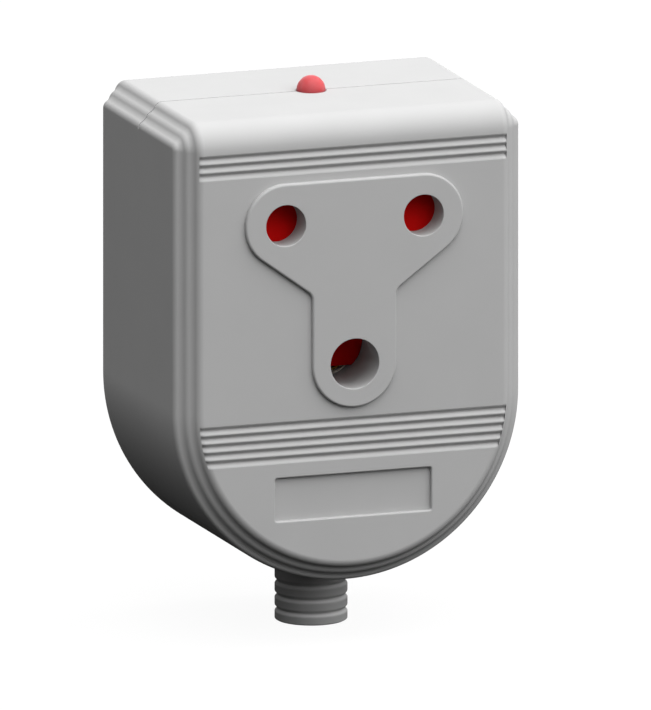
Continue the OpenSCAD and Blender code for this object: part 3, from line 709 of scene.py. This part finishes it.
def waveCutter(s, profile, firstZ, count):
    # Cutter for a set of grooves, which lie square to the surface and run on over the outermost reed
    high = firstZ + s["groovePitch"] / 2
    steps = s["grooveSteps"] * count
    rows = [(high + s["landRun"], -s["landRun"])]
    for i in range(steps + 1):
        turn = 2 * math.pi * i / s["grooveSteps"]
        rows.append((high - i * s["groovePitch"] / s["grooveSteps"],
                     s["landDepth"] + s["grooveDepth"] * (1 - math.cos(turn)) / 2))
    rows.append((rows[-1][0] - s["landRun"], -s["landRun"]))
    reach = [p for p in profile if p.x > s["grooveReach"]]
    points = []
    faces = []
    grids = []
    for lift in (0, 1):
        grid = []
        for z, depth in rows:
            drop = min(0, z - body["centreZ"])
            left = [(-math.sqrt((body["halfWidth"] - p.x) ** 2 - drop ** 2),
                     s["y"] + body["borderDepth"] - p.y) for p in reach]
            line = left + [(-x, y) for x, y in left[::-1]]
            spots = [(x, s["y"] - s["lead"] if lift else y + depth, z) for x, y in line]
            grid.append(addLoop(points, spots))
        grids.append(grid)
        for a, b in zip(grid, grid[1:]):
            faces += [(a[i], a[i + 1], b[i + 1], b[i]) for i in range(len(a) - 1)]
    rims = [grid[0] + [row[-1] for row in grid[1:]] + grid[-1][-2::-1] + [row[0] for row in grid[-2:0:-1]]
            for grid in grids]
    joinLoops(faces, *rims)
    return meshFrom("wave", points, faces)


entries = {
    "sleeve": {"radius": sleeveRadius + 0.12, "mouth": frontLow.z, "run": 4},
    "lamp": {"radius": 2.66, "mouth": body["top"], "run": -4},
}
entryRim = 0.15


def cutEntries(piece):
    # Ways through both shells for the sleeve and the lamp, with rounded rims
    for s in entries.values():
        radius = s["radius"]
        levels = flared(s["mouth"], s["mouth"] + s["run"], entryRim)
        outline = [(0, levels[0][1])] + [(radius - inset, z) for inset, z in levels] + [(0, levels[-1][1])]
        combine(piece, lathe("entry", outline), "DIFFERENCE")


def dress(piece, bodyName, slotName, *nodes):
    piece.data.materials.clear()
    piece.data.materials.append(materials[slotName])
    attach(piece, bodyName)
    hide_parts(*nodes)


def startShell(name, node, depth, profile, back):
    # The swept skin, with the inside of the CAD node joined to it
    shell = shellSkin(name, body, depth, profile, back)
    inside = cadCopy(node, node + "Inside")
    combine(inside, shellCore("core", body, depth, back), "INTERSECT")
    return combine(shell, inside, "UNION")


def endShell(shell, node):
    cutEntries(shell)
    smooth(shell)
    dress(shell, "housing", "shell_plastic", node)


def makeFrontShell():
    profile = borderProfile(body)
    shell = startShell("frontShell", "front_shell", body["frontDepth"], profile, False)
    edge = face["plateEdge"]
    turns = [math.pi / 2 * i / face["edgeSteps"] for i in range(face["edgeSteps"] + 1)]
    levels = [(edge * (1 - math.cos(t)), face["plateY"] + edge * (1 - math.sin(t))) for t in turns]
    combine(shell, stacked("plate", plateOutline, [(0, face["y"] + face["lead"])] + levels), "UNION")
    combine(shell, waveCutter(face, profile, face["firstTopGroove"], face["topGrooves"]), "DIFFERENCE")
    combine(shell, waveCutter(face, profile, face["firstLowGroove"], face["lowGrooves"]), "DIFFERENCE")
    recess = flared(face["y"], face["y"] + face["label"][2], face["labelRim"])
    combine(shell, stacked("recess", labelOutline, recess), "DIFFERENCE")
    mouth = flared(face["plateY"], face["plateY"] + face["mouthRun"], face["rim"])
    tunnel = [(inset + face["mouthTight"], y) for inset, y in mouth[:-1]]
    tunnel += [(0, mouth[-1][1]), (0, face["plateY"] + face["tunnel"])]
    for x, z, radius in ((-face["pinSpread"] / 2, face["pinZ"], face["pinRadius"]),
                         (face["pinSpread"] / 2, face["pinZ"], face["pinRadius"]),
                         (0, face["earthZ"], face["earthRadius"])):
        combine(shell, stacked("hole", roundOutline(x, z, radius + face["clear"]), tunnel), "DIFFERENCE")
    endShell(shell, "front_shell")


screwWell = {
    "radius": 3.1,
    "rim": 0.35,
    "floor": 17.9,
    "floorGap": 0.3,  # what the cutter leaves of the CAD's well above its floor
    "clear": 0.02,
}


def makeRearShell(s):
    shell = startShell("rearShell", "rear_shell", body["rearDepth"], borderProfile(body), True)
    for low, high in islandBoxes("housing_screws"):
        outline = roundOutline((low.x + high.x) / 2, (low.z + high.z) / 2, s["radius"] + s["clear"])
        levels = flared(body["rearDepth"], s["floor"] + s["floorGap"], s["rim"])
        combine(shell, stacked("well", outline, levels), "DIFFERENCE")
    endShell(shell, "rear_shell")


makeFrontShell()
makeRearShell(screwWell)
print("shells made")

# Shutter: the CAD shape with its moulded edges rounded
shutterEdge = {
    "radius": 0.25,
    "segments": 3,
    "flatDegrees": 1,  # faces that turn less than this become one
    "sharpDegrees": 40,  # edges that turn more than this are rounded
}


def makeShutter(s):
    piece = cadCopy("shutter", "shutterSlide")
    bm = bmesh.new()
    bm.from_mesh(piece.data)
    bmesh.ops.dissolve_limit(bm, angle_limit=math.radians(s["flatDegrees"]), verts=bm.verts, edges=bm.edges)
    bm.to_mesh(piece.data)
    bm.free()
    edges = piece.modifiers.new("edges", "BEVEL")
    edges.width = s["radius"] * mm
    edges.segments = s["segments"]
    edges.limit_method = "ANGLE"
    edges.angle_limit = math.radians(s["sharpDegrees"])
    applied(piece)
    tidyMesh(piece.data)
    smooth(piece)
    dress(piece, "shutter", "shutter_plastic", "shutter")


makeShutter(shutterEdge)
print("shutter made")

# Spring: wire wound as a helix with one closed turn at each end
spring = {
    "wire": 0.5,
    "turns": 9.0,
    "stepsPerTurn": 36,
    "closedRise": 0.95,  # rise of an end turn
    "wireSteps": 14,
}


def springTree(s):
    tree, add, size = geometryTree(
        "woundSpring", ["Radius", "Wire Radius", "Closed Rise", "Open Rise"], ["Turns"])
    line = add("GeometryNodeCurvePrimitiveLine")
    spots = round(s["turns"] * s["stepsPerTurn"]) + 1
    fine = add("GeometryNodeResampleCurve", {"Curve": line, "Count": spots})
    share = add("GeometryNodeSplineParameter").outputs["Factor"]
    turn = add("ShaderNodeMath", [share, size["Turns"]], operation="MULTIPLY")
    angle = add("ShaderNodeMath", [turn, 2 * math.pi], operation="MULTIPLY")
    across = add("ShaderNodeMath", [angle], operation="COSINE")
    along = add("ShaderNodeMath", [angle], operation="SINE")
    x = add("ShaderNodeMath", [across, size["Radius"]], operation="MULTIPLY")
    y = add("ShaderNodeMath", [along, size["Radius"]], operation="MULTIPLY")
    # Height: the closed rise on every turn, and what the open turns rise more than that
    openTurns = add("ShaderNodeMath", [size["Turns"], 2.0], operation="SUBTRACT")
    past = add("ShaderNodeMath", [turn, 1.0], operation="SUBTRACT")
    opened = add("ShaderNodeClamp", {"Value": past, "Min": 0.0, "Max": openTurns})
    more = add("ShaderNodeMath", [size["Open Rise"], size["Closed Rise"]], operation="SUBTRACT")
    base = add("ShaderNodeMath", [turn, size["Closed Rise"]], operation="MULTIPLY")
    z = add("ShaderNodeMath", [opened, more, base], operation="MULTIPLY_ADD")
    spot = add("ShaderNodeCombineXYZ", [x, y, z])
    wound = add("GeometryNodeSetPosition", {"Geometry": fine, "Position": spot})
    wire = add("GeometryNodeCurvePrimitiveCircle", {
        "Resolution": s["wireSteps"], "Radius": size["Wire Radius"]})
    tube = add("GeometryNodeCurveToMesh", {
        "Curve": wound, "Profile Curve": wire.outputs["Curve"], "Fill Caps": True})
    endTree(tree, tube, size["Finish"])
    return tree


def moveMesh(piece, offset):
    # Moves the mesh and leaves the object at the origin; the offset is in millimetres
    for vertex in piece.data.vertices:
        vertex.co += offset * mm
    piece.data.update()


def makeSpring(s):
    low, high = nodeBox("shutter_spring")
    rise = high.z - low.z - s["wire"]
    piece = newObject("shutterSpring", bpy.data.meshes.new("shutterSpring"))
    grown(piece, springTree(s), materials["clip_steel"], {
        **s, "radius": (high.x - low.x - s["wire"]) / 2, "wireRadius": s["wire"] / 2,
        "openRise": (rise - 2 * s["closedRise"]) / (s["turns"] - 2)})
    moveMesh(piece, Vector(((low.x + high.x) / 2, (low.y + high.y) / 2, low.z + s["wire"] / 2)))
    smooth(piece, sharpDegrees=60)
    dress(piece, "housing", "clip_steel", "shutter_spring")
    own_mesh(piece)


makeSpring(spring)
print("spring made")

# Screws: slotted pan heads on threaded shanks, with one function for all sets
screwSets = {
    "housing_screws": {"name": "housingScrews", "shankRadius": 1.65, "threadPitch": 1.2},
    "block_screws": {"name": "blockScrews", "shankRadius": 1.45, "threadPitch": 1.1},
    "clamp_screws": {"name": "clampScrews", "shankRadius": 1.45, "threadPitch": 1.1},
}
screwShape = {
    "headHeight": 2.2,
    "slotWidth": 0.8,
    "slotDepth": 0.9,
    "slotReach": 2.4,  # the slot cutter's length in head radii
    "headRounding": 0.75,  # how far the head's top falls at its rim
    "headPower": 4.0,  # higher is flatter in the middle
    "topShare": 0.9,  # what is higher than this share of the half height is the head's top
    "headSteps": 48,
    "headRings": 10,
    "threadDepth": 0.22,
    "tipShare": 0.3,  # what is left of the shank's radius at its tip
    "hang": -0.99,  # the shank's middle from the seat, in half lengths, so that it starts in the head
    "shankSteps": 24,
    "stepsPerPitch": 6,
}


def screwTree(s, threadSteps):
    # Built along Z with the head's seat at 0, then turned so that the head looks along Y
    tree, add, size = geometryTree(s["name"], [
        "Head Radius", "Head Height", "Head Rounding", "Slot Width", "Slot Depth", "Shank Radius", "Length",
        "Thread Pitch", "Thread Depth"])
    x, y, z, flat = aroundZ(tree)
    head = add("GeometryNodeMeshCylinder", {
        "Vertices": s["headSteps"], "Side Segments": 2, "Fill Segments": s["headRings"],
        "Radius": size["Head Radius"], "Depth": size["Head Height"]}, fill_type="TRIANGLE_FAN")
    halfHead = add("ShaderNodeMath", [size["Head Height"], 0.5], operation="MULTIPLY")
    reach = add("ShaderNodeVectorMath", [flat], operation="LENGTH").outputs["Value"]
    share = add("ShaderNodeMath", [reach, size["Head Radius"]], operation="DIVIDE")
    bend = add("ShaderNodeMath", [share, s["headPower"]], operation="POWER")
    above = add("ShaderNodeMath", [z, halfHead], operation="DIVIDE")
    onTop = add("ShaderNodeMath", [above, s["topShare"]], operation="GREATER_THAN")
    drop = add("ShaderNodeMath", [bend, size["Head Rounding"]], operation="MULTIPLY")
    fall = add("ShaderNodeMath", [drop, -1.0], operation="MULTIPLY")
    down = add("ShaderNodeCombineXYZ", {2: fall})
    domed = add("GeometryNodeSetPosition", {"Geometry": head, "Selection": onTop, "Offset": down})
    seated = lifted(tree, domed, halfHead)
    # Slot across the head
    slotLong = add("ShaderNodeMath", [size["Head Radius"], s["slotReach"]], operation="MULTIPLY")
    slotHigh = add("ShaderNodeMath", [size["Slot Depth"], 2.0], operation="MULTIPLY")
    slotSize = add("ShaderNodeCombineXYZ", [size["Slot Width"], slotLong, slotHigh])
    slot = lifted(tree, add("GeometryNodeMeshCube", {"Size": slotSize}), size["Head Height"])
    slotted = add("GeometryNodeMeshBoolean", [seated, slot], operation="DIFFERENCE", solver="EXACT")
    # Shank: the radius follows a helical wave, and narrows to a point
    shank = add("GeometryNodeMeshCylinder", {
        "Vertices": s["shankSteps"], "Side Segments": threadSteps, "Fill Segments": 1,
        "Radius": size["Shank Radius"], "Depth": size["Length"]}, fill_type="TRIANGLE_FAN")
    halfLength = add("ShaderNodeMath", [size["Length"], 0.5], operation="MULTIPLY")
    angle = add("ShaderNodeMath", [y, x], operation="ARCTAN2")
    turnShare = add("ShaderNodeMath", [angle, 2 * math.pi], operation="DIVIDE")
    rise = add("ShaderNodeMath", [z, size["Thread Pitch"]], operation="DIVIDE")
    phase = add("ShaderNodeMath", [rise, turnShare], operation="SUBTRACT")
    wave = add("ShaderNodeMath", [phase, 0.5], operation="PINGPONG")
    valley = add("ShaderNodeMath", [wave, size["Thread Depth"]], operation="MULTIPLY")
    deep = add("ShaderNodeMath", [valley, 2.0], operation="MULTIPLY")
    left = add("ShaderNodeMath", [size["Shank Radius"], deep], operation="SUBTRACT")
    fromTip = add("ShaderNodeMath", [z, halfLength], operation="ADD")
    narrow = add("ShaderNodeMapRange", {
        "Value": fromTip, "From Min": 0.0, "From Max": size["Shank Radius"], "To Min": s["tipShare"],
        "To Max": 1.0})
    radius = add("ShaderNodeMath", [left, narrow], operation="MULTIPLY")
    high = add("ShaderNodeCombineXYZ", {2: z})
    spot = add("ShaderNodeVectorMath", [awayFromZ(tree, flat, radius), high], operation="ADD")
    threaded = add("GeometryNodeSetPosition", {"Geometry": shank, "Position": spot})
    lower = add("ShaderNodeMath", [halfLength, s["hang"]], operation="MULTIPLY")
    whole = add("GeometryNodeMeshBoolean", {1: slotted}, operation="UNION", solver="EXACT")
    tree.links.new(lifted(tree, threaded, lower).outputs[0], whole.inputs[1])
    turned = add("GeometryNodeTransform", {"Geometry": whole, "Rotation": (-math.pi / 2, 0, 0)})
    copies = add("GeometryNodeInstanceOnPoints", {"Points": size["Geometry"], "Instance": turned})
    endTree(tree, copies, size["Finish"])
    return tree


def makeScrews(node, s):
    boxes = islandBoxes(node)
    low, high = boxes[0]
    seats = [Vector(((a.x + b.x) / 2, b.y - s["headHeight"], (a.z + b.z) / 2)) * mm for a, b in boxes]
    length = high.y - low.y - s["headHeight"]
    mesh = bpy.data.meshes.new(s["name"])
    mesh.from_pydata(seats, [], [])
    piece = newObject(s["name"], mesh)
    tree = screwTree(s, round(length / s["threadPitch"] * s["stepsPerPitch"]))
    grown(piece, tree, materials["screw_steel"], {
        **s, "headRadius": (high.x - low.x) / 2, "length": length})
    smooth(piece, sharpDegrees=35)
    dress(piece, "housing", "screw_steel", node)


for nodeName, sizes in screwSets.items():
    makeScrews(nodeName, {**screwShape, **sizes})
print("screws made")

# Lamp: a domed resin body with a rim under the top of the housing
lamp = {
    "radius": 2.52,
    "rimHeight": 1.0,
    "rimEdge": 0.1,
    "steps": 72,
    "domeSteps": 24,
}


def makeLamp(s):
    radius = s["radius"]
    shoulder = lampHigh.z - radius
    wide, edge = lampHigh.x, s["rimEdge"]
    rimTop = lampLow.z + s["rimHeight"]
    outline = [(0, lampLow.z), (wide - edge, lampLow.z), (wide, lampLow.z + edge)]
    outline += [(wide, rimTop - edge), (wide - edge, rimTop), (radius, rimTop)]
    outline += arc((0, shoulder), radius, 0, 90, s["domeSteps"])
    piece = lathe("indicatorLamp", outline, s["steps"])
    smooth(piece, sharpDegrees=35)
    dress(piece, "housing", "lamp_lens", "indicator_lamp")


makeLamp(lamp)
print("lamp made")

# Sleeve: soft tube with rounded grooves round its outside
sleeve = {
    "boreRadius": 4.5,
    "grooveCount": 3,
    "firstGroove": 2.05,
    "groovePitch": 2.45,
    "grooveDepth": 0.42,
    "grooveHalf": 0.62,  # half the groove's width at the surface
    "lipDrop": 0.12,  # from the groove's middle down to the middle of the lip's painted highlight
    "lipHalf": 0.46,
    "mouthRound": 0.3,
    "mouthPower": 2.5,
    "collarBottom": 3.513,  # height of the collar's lower face above the body's lowest point
    "collarHeight": 2.0,
    "boreRun": 1.5,  # the bore cutter's length in sleeve lengths
    "steps": 96,
    "stepsUp": 150,
}


def sleeveTree(s):
    tree, add, size = geometryTree("ribbedSleeve", [
        "Radius", "Bore Radius", "Length", "First Groove", "Groove Pitch", "Groove Depth", "Groove Half",
        "Lip Drop", "Lip Half", "Mouth Round", "Collar Radius", "Collar Bottom", "Collar Height"],
        ["Groove Count"])
    height, flat = aroundZ(tree)[2:]
    half = add("ShaderNodeMath", [size["Length"], 0.5], operation="MULTIPLY")
    tube = add("GeometryNodeMeshCylinder", {
        "Vertices": s["steps"], "Side Segments": s["stepsUp"], "Radius": size["Radius"],
        "Depth": size["Length"]})
    stood = lifted(tree, tube, half)
    # Distance to the nearest groove's middle
    fromFirst = add("ShaderNodeMath", [height, size["First Groove"]], operation="SUBTRACT")
    pitches = add("ShaderNodeMath", [fromFirst, size["Groove Pitch"]], operation="DIVIDE")
    nearest = add("ShaderNodeMath", [pitches], operation="ROUND")
    lastGroove = add("ShaderNodeMath", [size["Groove Count"], 1.0], operation="SUBTRACT")
    kept = add("ShaderNodeClamp", {"Value": nearest, "Min": 0.0, "Max": lastGroove})
    middle = add("ShaderNodeMath", [kept, size["Groove Pitch"], size["First Groove"]],
                 operation="MULTIPLY_ADD")
    apart = add("ShaderNodeMath", [height, middle], operation="SUBTRACT")
    away = add("ShaderNodeMath", [apart], operation="ABSOLUTE")
    groove = add("ShaderNodeMapRange", {
        "Value": away, "From Min": 0.0, "From Max": size["Groove Half"], "To Min": size["Groove Depth"],
        "To Max": 0.0}, interpolation_type="SMOOTHSTEP")
    # Rounding at the mouth
    toMouth = add("ShaderNodeMapRange", {
        "Value": height, "From Min": 0.0, "From Max": size["Mouth Round"], "To Min": 1.0, "To Max": 0.0})
    bend = add("ShaderNodeMath", [toMouth, s["mouthPower"]], operation="POWER")
    mouth = add("ShaderNodeMath", [bend, size["Mouth Round"]], operation="MULTIPLY")
    loss = add("ShaderNodeMath", [groove, mouth], operation="ADD")
    inward = add("ShaderNodeMath", [loss, -1.0], operation="MULTIPLY")
    # The lip below each groove is marked for a painted highlight, a paler band in place of light from above
    belowGroove = add("ShaderNodeMath", [apart, size["Lip Drop"]], operation="ADD")
    fromLip = add("ShaderNodeMath", [belowGroove], operation="ABSOLUTE")
    litLipShare = add("ShaderNodeMapRange", {
        "Value": fromLip, "From Min": 0.0, "From Max": size["Lip Half"], "To Min": 1.0, "To Max": 0.0},
        interpolation_type="SMOOTHSTEP")
    marked = add("GeometryNodeStoreNamedAttribute", {
        "Geometry": stood, "Name": "worn", "Value": litLipShare})
    ribbed = add("GeometryNodeSetPosition", {
        "Geometry": marked, "Offset": awayFromZ(tree, flat, inward)})
    # Collar inside the housing, and the bore
    collar = add("GeometryNodeMeshCylinder", {
        "Vertices": s["steps"], "Radius": size["Collar Radius"], "Depth": size["Collar Height"]})
    collarMiddle = add("ShaderNodeMath", [size["Collar Height"], 0.5, size["Collar Bottom"]],
                       operation="MULTIPLY_ADD")
    solid = add("GeometryNodeMeshBoolean", {1: ribbed}, operation="UNION", solver="EXACT")
    tree.links.new(lifted(tree, collar, collarMiddle).outputs[0], solid.inputs[1])
    long = add("ShaderNodeMath", [size["Length"], s["boreRun"]], operation="MULTIPLY")
    bore = add("GeometryNodeMeshCylinder", {
        "Vertices": s["steps"], "Radius": size["Bore Radius"], "Depth": long})
    hollow = add("GeometryNodeMeshBoolean", [solid, lifted(tree, bore, half)],
                 operation="DIFFERENCE", solver="EXACT")
    endTree(tree, hollow, size["Finish"])
    return tree


def makeSleeve(s):
    piece = newObject("cordSleeve", bpy.data.meshes.new("cordSleeve"))
    grown(piece, sleeveTree(s), materials["sleeve_rubber"], {
        **s, "radius": sleeveRadius, "length": sleeveHigh.z, "collarRadius": sleeveHigh.x,
        "collarBottom": frontLow.z + s["collarBottom"]})
    smooth(piece, sharpDegrees=40)
    dress(piece, "housing", "sleeve_rubber", "cord_sleeve")


makeSleeve(sleeve)
print("sleeve made")

# What keeps its CAD shape gets its finish
slotOf = {part["node"]: part["material_slot"] for part in frame["record"]["subparts"]}
for nodeName, node in frame["nodes"].items():
    if not node.hide_render:
        for slot in node.material_slots:
            slot.material = materials[slotOf[nodeName]]

# Studio: a sky that is brightest overhead, a broad lamp from the upper right, a small one behind
studio = {
    "skyBase": 0.107,
    "skyTop": 1.62,
    "skyPower": 2.7,
    "floorSize": 3.0,  # metres, as are the lamps' sizes and distances
    "floorDrop": 0.02,  # gap between the sleeve and the floor
    "floorDark": "#202020",  # what lights the object from below
    "floorPale": "#f4f4f4",
    "shadowShare": 0.06,  # how much of the floor that is seen takes the light and its shadows
    "lamps": {
        "keyLamp": {"from": (0.326, -0.468, 0.848), "distance": 1.5, "size": 3.31, "radiance": 2.24},
        "backLamp": {"from": (0.15, 1.0, 0.25), "distance": 0.9, "size": 0.6, "radiance": 1.6},
    },
}


def seenDirectly(tree):
    # 1 for what the camera, a reflection or glass sees, 0 for what lights the object
    path = addNode(tree, "ShaderNodeLightPath")
    seen, reflected, through = (
        path.outputs[f"Is {kind} Ray"] for kind in ("Camera", "Glossy", "Transmission"))
    either = addNode(tree, "ShaderNodeMath", [seen, reflected], operation="MAXIMUM")
    return addNode(tree, "ShaderNodeMath", [either, through], operation="MAXIMUM")


def addWorld(s):
    world = bpy.data.worlds.new("studioWorld")
    world.use_nodes = True
    tree = world.node_tree
    tree.nodes.clear()
    way = addNode(tree, "ShaderNodeTexCoord")
    parts = addNode(tree, "ShaderNodeSeparateXYZ", [way.outputs["Generated"]])
    height = addNode(tree, "ShaderNodeMath", [parts.outputs[2], 0.0], operation="MAXIMUM")
    curve = addNode(tree, "ShaderNodeMath", [height, s["skyPower"]], operation="POWER")
    sky = addNode(tree, "ShaderNodeMath", [curve, s["skyTop"], s["skyBase"]], operation="MULTIPLY_ADD")
    strength = addNode(tree, "ShaderNodeMapRange", {
        "Value": seenDirectly(tree), "To Min": sky, "To Max": 1.0})
    light = addNode(tree, "ShaderNodeBackground", {"Color": linear("#ffffff"), "Strength": strength})
    addNode(tree, "ShaderNodeOutputWorld", {"Surface": light})
    scene.world = world


def addFloor(s):
    half = s["floorSize"] / 2
    floorZ = (sleeveLow.z - s["floorDrop"]) * mm
    mesh = bpy.data.meshes.new("floor")
    corners = [(-half, -half, floorZ), (half, -half, floorZ), (half, half, floorZ), (-half, half, floorZ)]
    mesh.from_pydata(corners, [], [(0, 1, 2, 3)])
    floor = newObject("floor", mesh)
    material, tree = startMaterial("paleFloor")
    dark = addNode(tree, "ShaderNodeBsdfDiffuse", {"Color": linear(s["floorDark"])})
    pale = addNode(tree, "ShaderNodeBsdfDiffuse", {"Color": linear(s["floorPale"])})
    glow = addNode(tree, "ShaderNodeEmission", {"Color": linear("#ffffff"), "Strength": 1.0})
    shown = addNode(tree, "ShaderNodeMixShader", [s["shadowShare"], glow, pale])
    both = addNode(tree, "ShaderNodeMixShader", [seenDirectly(tree), dark, shown])
    addNode(tree, "ShaderNodeOutputMaterial", {"Surface": both})
    floor.data.materials.append(material)


def addLamp(name, s, aim):
    data = bpy.data.lights.new(name, "AREA")
    data.shape = "DISK"
    data.size = s["size"]
    # A disk of this power shines with the radiance that is asked for
    data.energy = s["radiance"] * math.pi * math.pi * (s["size"] / 2) ** 2
    piece = newObject(name, data)
    way = Vector(s["from"]).normalized()
    piece.location = aim + way * s["distance"]
    piece.rotation_mode = "QUATERNION"
    piece.rotation_quaternion = way.to_track_quat("Z", "Y")
    piece.visible_camera = False


addWorld(studio)
addFloor(studio)
for lampName, lampSizes in studio["lamps"].items():
    addLamp(lampName, lampSizes, (cadBox[0] + cadBox[1]) / 2)
scene.view_settings.view_transform = "Standard"
print("studio lit")
